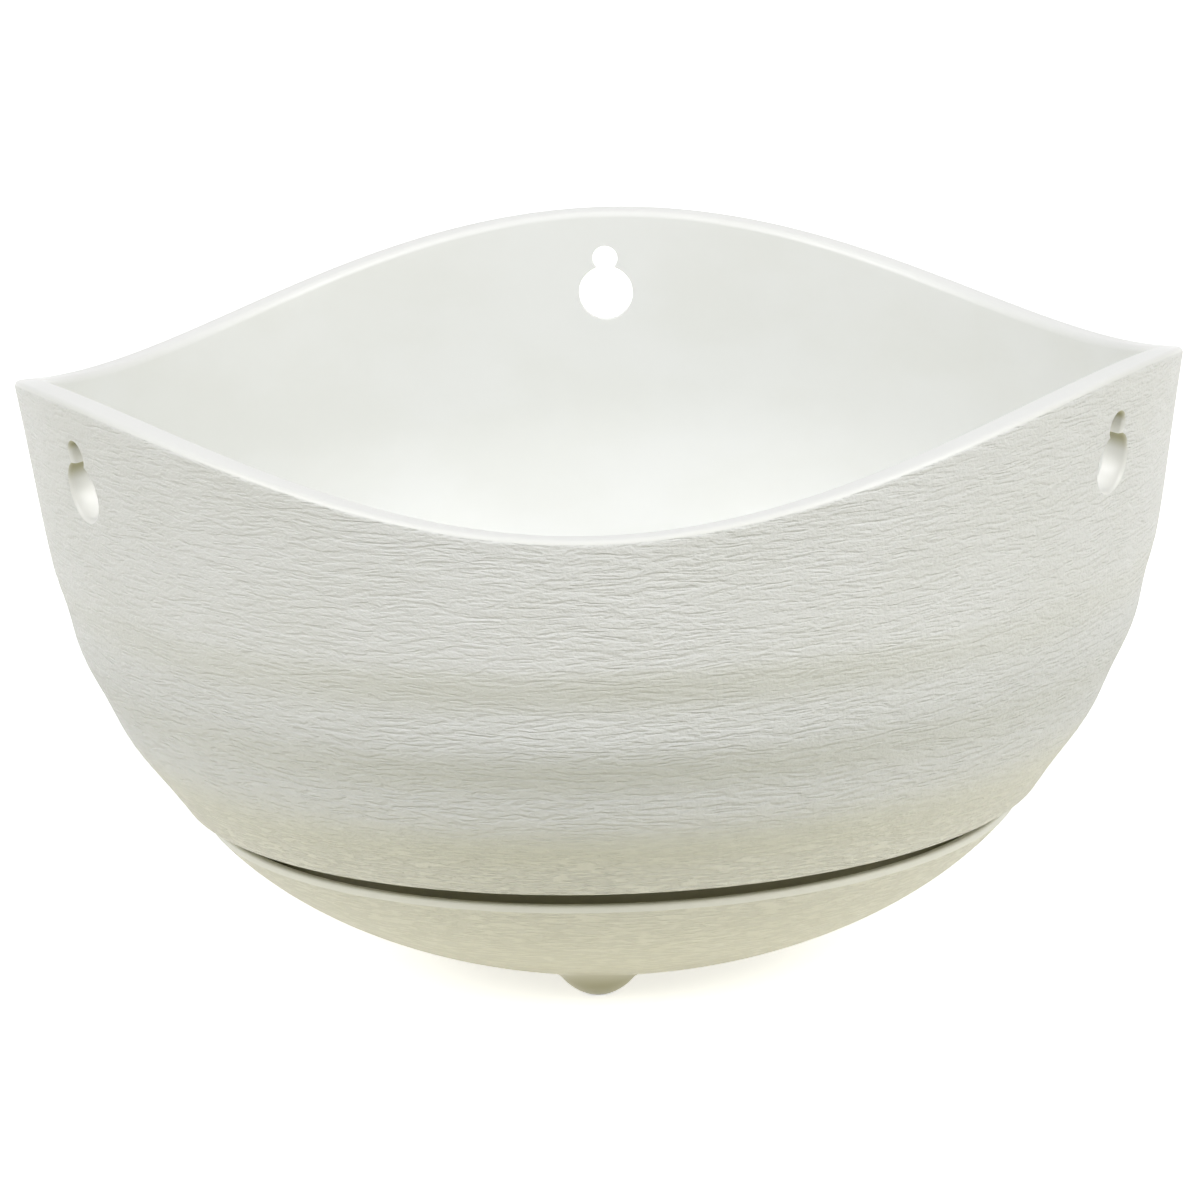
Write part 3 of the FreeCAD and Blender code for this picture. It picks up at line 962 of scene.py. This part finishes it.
def add_skirt(section, bowl, tray):
    """The floor's underside, and the skirt that stands in the tray; gives the skirt's radius at the lip"""
    lip = bowl.lip_height
    seat = tray.seat_height
    thick = bowl.skirt_wall
    foot = tray_side(tray).radius(seat, tray.wall + bowl.skirt_clearance)
    neck = foot + (lip - seat) * math.tan(bowl.skirt_draft)
    section.line((bowl.drain_radius + bowl.drain_bevel, lip), (neck - thick, lip), 6, SMOOTH)
    section.line((neck - thick, lip), (foot - thick, seat), 4, SHADED_GAP)
    section.line((foot - thick, seat), (foot, seat), 2, SHADED_GAP)
    section.line((foot, seat), (neck, lip), 4, SHADED_GAP)
    return neck


def add_lip(section, bowl, wall, neck):
    """The lower lip, rounded into the outer wall; gives the height at which the wall starts"""
    lip = bowl.lip_height
    start = lip + bowl.lip_round
    edge, edge_height = wall.sunk(start, ripple(bowl, start, section.angles))
    under = edge - 2 * bowl.lip_round
    corner = edge - bowl.lip_round / 3
    section.line((neck, lip), (under, lip), 3, SHADED_GAP)
    for t in np.linspace(0, 1, EDGE_RINGS)[:-1]:
        radius = under * (1 - t) ** 2 + corner * 2 * t * (1 - t) + edge * t ** 2
        section.ring(radius, lip + (edge_height - lip) * t ** 2, GRAINED)
    return start


def add_outer_wall(section, bowl, wall, look, start):
    """The outer wall with its ripples and creases, closer rings where the creases are"""
    creases = CreaseMap(bowl, look)
    top = rim_line(bowl, section.angles) - bowl.rim_round
    plain = np.linspace(0, PLAIN_SHARE, PLAIN_RINGS)[:-1]
    for climb in (*plain, *np.linspace(PLAIN_SHARE, 1, CREASED_RINGS)):
        height = start + (top - start) * climb
        fade = np.clip((height - look.grain_low) / (look.grain_full - look.grain_low), 0, 1)
        depth = creases.read(height, section.angles) * fade
        drawn = ripple(bowl, height, section.angles)
        radius, lifted = wall.sunk(height, drawn + look.crease_depth * depth)
        # The crease depth and the trough go to the mesh for painted shade
        section.ring(radius, lifted, GRAINED, depth, trough(bowl, height, section.angles))


def add_rim(section, bowl, wall):
    """The rim, rounded outside, level on top and rounder inside, with a painted highlight on top; gives
    where the inner wall starts
    """
    rim = rim_line(bowl, section.angles)
    corner = bowl.rim_round
    outer = wall.radius(rim - corner) - corner
    bends = np.linspace(0, math.pi / 2, EDGE_RINGS)[1:]
    # Painted highlight on the outer rounding, strongest at the top
    section.arc((outer, rim - corner), corner, bends, SMOOTH, np.sin(bends) ** 4)
    corner = bowl.rim_inner_round
    top = opposite(bowl, wall, rim - corner)
    inner = inner_wall(bowl, wall, top)[0] + corner
    fades = np.linspace(0, 1, INNER_EDGE_RINGS)[:-1]
    section.arc((inner, rim - corner), corner, math.pi / 2 * (1 + fades), SMOOTH, 1 - RIM_FADE * fades)
    return top


def add_inside(section, bowl, wall, top):
    """The inner wall, the floor and the middle drain"""
    floor = bowl.lip_height + bowl.floor_thickness
    drain = bowl.drain_radius
    bevel = bowl.drain_bevel
    cove = bowl.wall / 2
    foot = opposite(bowl, wall, floor + cove)
    for climb in np.linspace(1, 0, INSIDE_RINGS):
        section.ring(*inner_wall(bowl, wall, foot + (top - foot) * climb), SMOOTH)
    base = inner_wall(bowl, wall, foot)[0]
    for inwards, up in COVE:
        section.ring(base - inwards * cove, floor + up * cove, SMOOTH)
    section.line((base - COVE_END * cove, floor), (drain + bevel, floor), 6, SMOOTH)
    section.ring(drain + bevel, floor, SMOOTH)
    section.ring(drain, floor - bevel, SMOOTH)
    section.ring(drain, bowl.lip_height + bevel, SMOOTH)


def bowl_section(bowl, tray, look):
    """The bowl's closed half section, from the middle drain round to the middle drain"""
    section = Section()
    wall = bowl_wall(bowl)
    neck = add_skirt(section, bowl, tray)
    start = add_lip(section, bowl, wall, neck)
    add_outer_wall(section, bowl, wall, look, start)
    top = add_rim(section, bowl, wall)
    add_inside(section, bowl, wall, top)
    return section


def soft_least(a, b, blend):
    """The lesser of two heights, with a soft join"""
    near = np.clip(0.5 + 0.5 * (b - a) / blend, 0, 1)
    return b + (a - b) * near - blend * near * (1 - near)


def dome_height(tray, distance):
    """A foot's own height at a distance from its middle: flat, then an arc"""
    flat = np.array((tray.foot_flat, 0.0))
    top = np.array((tray.foot_radius, tray.foot_height + tray.wall / 2))
    chord = top - flat
    span = np.linalg.norm(chord)
    corner = np.array((top[0], flat[1]))
    middle = (flat + top) / 2
    sagitta = np.linalg.norm(corner - middle) * tray.foot_bulge
    radius = (span ** 2 / 4 + sagitta ** 2) / (2 * sagitta)
    towards = (middle - corner) / np.linalg.norm(middle - corner)
    across = np.array((-chord[1], chord[0])) / span
    side = math.copysign(1.0, float(across @ towards))
    centre = middle + across * side * (radius - sagitta)
    inside = np.clip(radius ** 2 - (distance - centre[0]) ** 2, 0, None)
    arc = centre[1] - np.sqrt(inside)
    slope_on = top[1] + (distance - top[0]) * FOOT_RUN_ON
    rise = np.where(distance > tray.foot_radius, slope_on, arc)
    return np.where(distance < tray.foot_flat, 0.0, np.maximum(rise, 0.0))


def underside(tray, side, radius, angles):
    """Height of the tray's underside with its feet"""
    flat = np.full(angles.shape, tray.foot_height)
    if radius > tray.floor_radius:
        flat += np.interp(radius, side.places[:, 0], side.places[:, 1]) - tray.foot_height
    height = flat
    for angle in spaced(FOOT_ANGLE, tray.foot_count):
        x = radius * np.cos(angles) - FOOT_CIRCLE * math.cos(angle)
        y = radius * np.sin(angles) - FOOT_CIRCLE * math.sin(angle)
        height = soft_least(dome_height(tray, np.hypot(x, y)), height, tray.foot_blend)
    return height


def add_underside(section, tray, side):
    """The tray's underside with its feet; gives the radius at which they end"""
    reach = tray.foot_radius + 4 * tray.foot_blend
    inmost = FOOT_CIRCLE - reach
    outmost = FOOT_CIRCLE + reach
    for radius in np.linspace(inmost / 4, inmost, 4)[:-1]:
        section.ring(radius, tray.foot_height, SMOOTH)
    for radius in np.linspace(inmost, outmost, FOOT_RINGS):
        section.ring(radius, underside(tray, side, radius, section.angles), SMOOTH)
    return outmost


def add_side(section, tray, side, outmost):
    """The tray's outer side, then the band under its rim and the rim's rounded edge, which carry a painted
    highlight
    """
    start = float(np.interp(outmost, side.places[:, 0], side.places[:, 1]))
    end = tray.rim_height - tray.band
    for climb in np.linspace(0, 1, SIDE_RINGS)[1:-1]:
        height = start + (end - start) * climb
        section.ring(side.radius(height), height, GRAINED)
    # The band and the rounded edge carry the full painted highlight
    section.ring(tray.rim_radius, end, SMOOTH, 1.0)
    corner = tray.rim_round
    centre = (tray.rim_radius - corner, tray.rim_height - corner)
    bends = np.linspace(0, math.pi / 2, EDGE_RINGS)
    section.arc(centre, corner, bends, SMOOTH, np.ones(EDGE_RINGS))


def add_dish(section, tray, side):
    """The tray's inside: down to the ledge, the ledge, then the dish and its floor"""
    bevel = tray.rim_round / 3
    section.ring(side.radius(tray.rim_height, tray.wall) + bevel, tray.rim_height, SMOOTH)
    for height in np.linspace(tray.rim_height - bevel, tray.seat_height, EDGE_RINGS):
        section.ring(side.radius(height, tray.wall), height, SHADED_GAP)
    ledge = side.radius(tray.seat_height, tray.wall) - tray.ledge_width
    low = tray.seat_height - tray.ledge_thickness
    section.ring(ledge + bevel, tray.seat_height, SHADED_GAP)
    section.ring(ledge, tray.seat_height - bevel, SMOOTH)
    section.ring(ledge, low, SMOOTH)
    floor = tray.foot_height + tray.wall
    for climb in np.linspace(1, 0, DISH_RINGS):
        height = floor + (low - floor) * climb
        section.ring(side.radius(height, tray.wall), height, SMOOTH)
    base = side.radius(floor, tray.wall)
    section.line((base * 0.75, floor), (0.0, floor), 3, SMOOTH)


def tray_section(tray):
    """The tray's half section, from its underside's middle round to its floor's middle"""
    section = Section()
    side = tray_side(tray)
    outmost = add_underside(section, tray, side)
    add_side(section, tray, side, outmost)
    add_dish(section, tray, side)
    return section


class PLANTER_OT_bowl(bpy.types.Operator):
    """Make the planter bowl with its wavy rim, keyholes, ripples and creased grain"""
    bl_idname = "planter.bowl"
    bl_label = "Planter Bowl"

    def execute(self, context):
        bowl = context.scene.planter_bowl
        tray = context.scene.planter_tray
        look = context.scene.planter_look
        outside = plastic(
            "crinkled_outside", creased(look), uneven(look.outside_roughness, MATTE_SPREAD, BOWL_GRAIN),
            crinkled(look.groove_depth, look.fine_depth))
        inside = polished("smooth_inside", look, rim_highlighted(mottled(look.inside_colour), look.highlight_colour))
        gap_shade = gap_shaded("shaded_skirt", look)
        keyhole = polished("keyhole_edge", look, keyhole_light_and_shade(look))
        mesh = bowl_section(bowl, tray, look).mesh("bowl_shell", closed=True)
        piece = placed(mesh, "bowl", "planter_bowl", [outside, inside, gap_shade, keyhole])
        keys = [keyhole_cutter(bowl, angle) for angle in spaced(BACK, bowl.wave_peaks)]
        drains = [drain_cutter(bowl, angle) for angle in spaced(BACK, bowl.drain_count)]
        cut(piece, keys + drains)
        smoothed(piece.data, BOWL_SHARP, crisp={SMOOTH, KEYHOLE})
        return {"FINISHED"}


class PLANTER_OT_tray(bpy.types.Operator):
    """Make the drip tray with its ledge and three moulded feet"""
    bl_idname = "planter.tray"
    bl_label = "Drip Tray"

    def execute(self, context):
        tray = context.scene.planter_tray
        look = context.scene.planter_look
        outside = plastic(
            "grained_tray", fibred(look.tray_colour, look.streak_shade),
            uneven(look.outside_roughness, MATTE_SPREAD, TRAY_GRAIN), level_grain(look.fine_depth))
        inside = polished("smooth_tray", look, rim_highlighted(foot_shaded(look), look.tray_rim_highlight))
        gap_shade = gap_shaded("shaded_ledge", look)
        mesh = tray_section(tray).mesh("tray_dish", closed=False)
        placed(mesh, "tray", "drip_tray", [outside, inside, gap_shade])
        smoothed(mesh, TRAY_SHARP)
        return {"FINISHED"}


def soft_light(name, side, rise, strength, spread, rgb):
    """A wide soft light from far off: side is its angle from the front, rise its angle up"""
    lamp = bpy.data.lights.new(name, "SUN")
    lamp.energy = strength
    lamp.angle = spread
    lamp.color = rgb
    light = bpy.data.objects.new(name, lamp)
    towards = (math.sin(side) * math.cos(rise), -math.cos(side) * math.cos(rise), math.sin(rise))
    light.rotation_euler = Vector(towards).to_track_quat("Z", "Y").to_euler()
    bpy.context.scene.collection.objects.link(light)
    return light


def light_table(studio):
    """A disc of light just above the floor that lights the planter from below"""
    lamp = bpy.data.lights.new("table", "AREA")
    lamp.shape = "DISK"
    lamp.size = studio.table_size
    lamp.energy = studio.table_power
    lamp.color = studio.table_colour
    light = bpy.data.objects.new("table", lamp)
    light.location.z = TRAY_LOW.z + TABLE_LIFT
    light.rotation_euler.x = math.pi
    light.visible_camera = False
    bpy.context.scene.collection.objects.link(light)


def seen_rays(wire):
    """1 for what the camera sees, also in a reflection or through something clear"""
    camera = wire.add("ShaderNodeLightPath", output="Is Camera Ray")
    glossy = wire.add("ShaderNodeLightPath", output="Is Glossy Ray")
    clear = wire.add("ShaderNodeLightPath", output="Is Transmission Ray")
    return camera.math("MAXIMUM", camera.math("MAXIMUM", camera, glossy), clear)


def pale_floor(studio):
    """A pale floor that the camera sees as white where no shadow falls"""
    mesh = bpy.data.meshes.new("floor")
    corners = [(x * FLOOR_REACH, y * FLOOR_REACH, 0) for x, y in ((-1, -1), (1, -1), (1, 1), (-1, 1))]
    mesh.from_pydata(corners, [], [(0, 1, 2, 3)])
    material = bpy.data.materials.new("pale_floor")
    material.use_nodes = True
    tree = material.node_tree
    tree.nodes.clear()
    wire = Wire(tree)
    warm = wire.add("ShaderNodeBsdfDiffuse", inputs={"Color": opaque(studio.floor_bounce)})
    white = wire.add("ShaderNodeBsdfDiffuse", inputs={"Color": opaque(studio.floor_white)})
    glow = wire.add("ShaderNodeEmission", inputs={"Strength": studio.floor_glow})
    seen = wire.add("ShaderNodeAddShader", inputs={0: white, 1: glow})
    floor = wire.add("ShaderNodeMixShader", inputs={0: seen_rays(wire), 1: warm, 2: seen})
    wire.add("ShaderNodeOutputMaterial", inputs={"Surface": floor}, output=None)
    mesh.materials.append(material)
    floor = bpy.data.objects.new("floor", mesh)
    bpy.context.scene.collection.objects.link(floor)


def even_sky(studio):
    """An even sky that lights softly and shows as white"""
    world = bpy.data.worlds.new("sky")
    bpy.context.scene.world = world
    world.use_nodes = True
    tree = world.node_tree
    wire = Wire(tree)
    background = tree.nodes["Background"]
    background.inputs["Color"].default_value = opaque(WHITE)
    strength = seen_rays(wire) * (1.0 - studio.sky) + studio.sky
    tree.links.new(strength.socket, background.inputs["Strength"])


def photo_camera(studio):
    """The camera at the photograph's place"""
    data = bpy.data.cameras.new("camera")
    data.sensor_width = SENSOR
    data.lens = studio.lens
    camera = bpy.data.objects.new("camera", data)
    bpy.context.scene.collection.objects.link(camera)
    spin = Matrix.Rotation(studio.yaw, 3, "Z")
    forward = spin @ Vector((0, math.cos(studio.pitch), -math.sin(studio.pitch)))
    level = spin @ Vector((1, 0, 0))
    upright = level.cross(forward)
    right = level * math.cos(studio.roll) + upright * math.sin(studio.roll)
    up = right.cross(forward)
    target = spin @ Vector((studio.target_side, 0, studio.target_height))
    place = target - forward * studio.distance
    axes = Matrix((right, up, -forward)).transposed()
    camera.matrix_world = Matrix.Translation(place) @ axes.to_4x4()
    bpy.context.scene.camera = camera


class PLANTER_OT_stage(bpy.types.Operator):
    """Make the floor, the light and the camera"""
    bl_idname = "planter.stage"
    bl_label = "Stage"

    def execute(self, context):
        studio = context.scene.planter_studio
        context.scene.view_settings.view_transform = "Standard"
        pale_floor(studio)
        even_sky(studio)
        lights = (
            ("left", -studio.side, studio.rise, studio.left, WHITE),
            ("right", studio.side, studio.rise, studio.right, WHITE),
            ("low_left", -studio.low_side, studio.low_rise, studio.low_left, studio.low_colour),
            ("low_right", studio.low_side, studio.low_rise, studio.low_right, studio.low_colour),
        )
        for name, side, rise, strength, rgb in lights:
            soft_light(name, side, rise, strength, studio.spread, rgb)
        fill = soft_light("back", math.pi, studio.back_rise, studio.back, studio.spread, WHITE)
        fill.visible_glossy = False
        light_table(studio)
        photo_camera(studio)
        return {"FINISHED"}


class PLANTER_PT_sidebar(bpy.types.Panel):
    """The planter's pieces, sizes and colours"""
    bl_idname = "PLANTER_PT_sidebar"
    bl_label = "Hanging Planter"
    bl_space_type = "VIEW_3D"
    bl_region_type = "UI"
    bl_category = "Planter"

    def draw(self, context):
        for operator in (PLANTER_OT_bowl, PLANTER_OT_tray, PLANTER_OT_stage):
            self.layout.operator(operator.bl_idname)
        for name in GROUPS:
            group = getattr(context.scene, name)
            box = self.layout.box()
            for prop in group.__annotations__:
                box.prop(group, prop)


GROUPS = {
    "planter_bowl": BowlSizes,
    "planter_tray": TraySizes,
    "planter_look": PlasticLook,
    "planter_studio": StudioSetup,
}
CLASSES = (*GROUPS.values(), PLANTER_OT_bowl, PLANTER_OT_tray, PLANTER_OT_stage, PLANTER_PT_sidebar)


def register():
    for cls in CLASSES:
        bpy.utils.register_class(cls)
    for name, group in GROUPS.items():
        setattr(bpy.types.Scene, name, bpy.props.PointerProperty(type=group))


def unregister():
    for name in GROUPS:
        delattr(bpy.types.Scene, name)
    for cls in reversed(CLASSES):
        bpy.utils.unregister_class(cls)


def main():
    register()
    bpy.ops.planter.tray()
    bpy.ops.planter.bowl()
    bpy.ops.planter.stage()


if __name__ == "__main__":
    main()
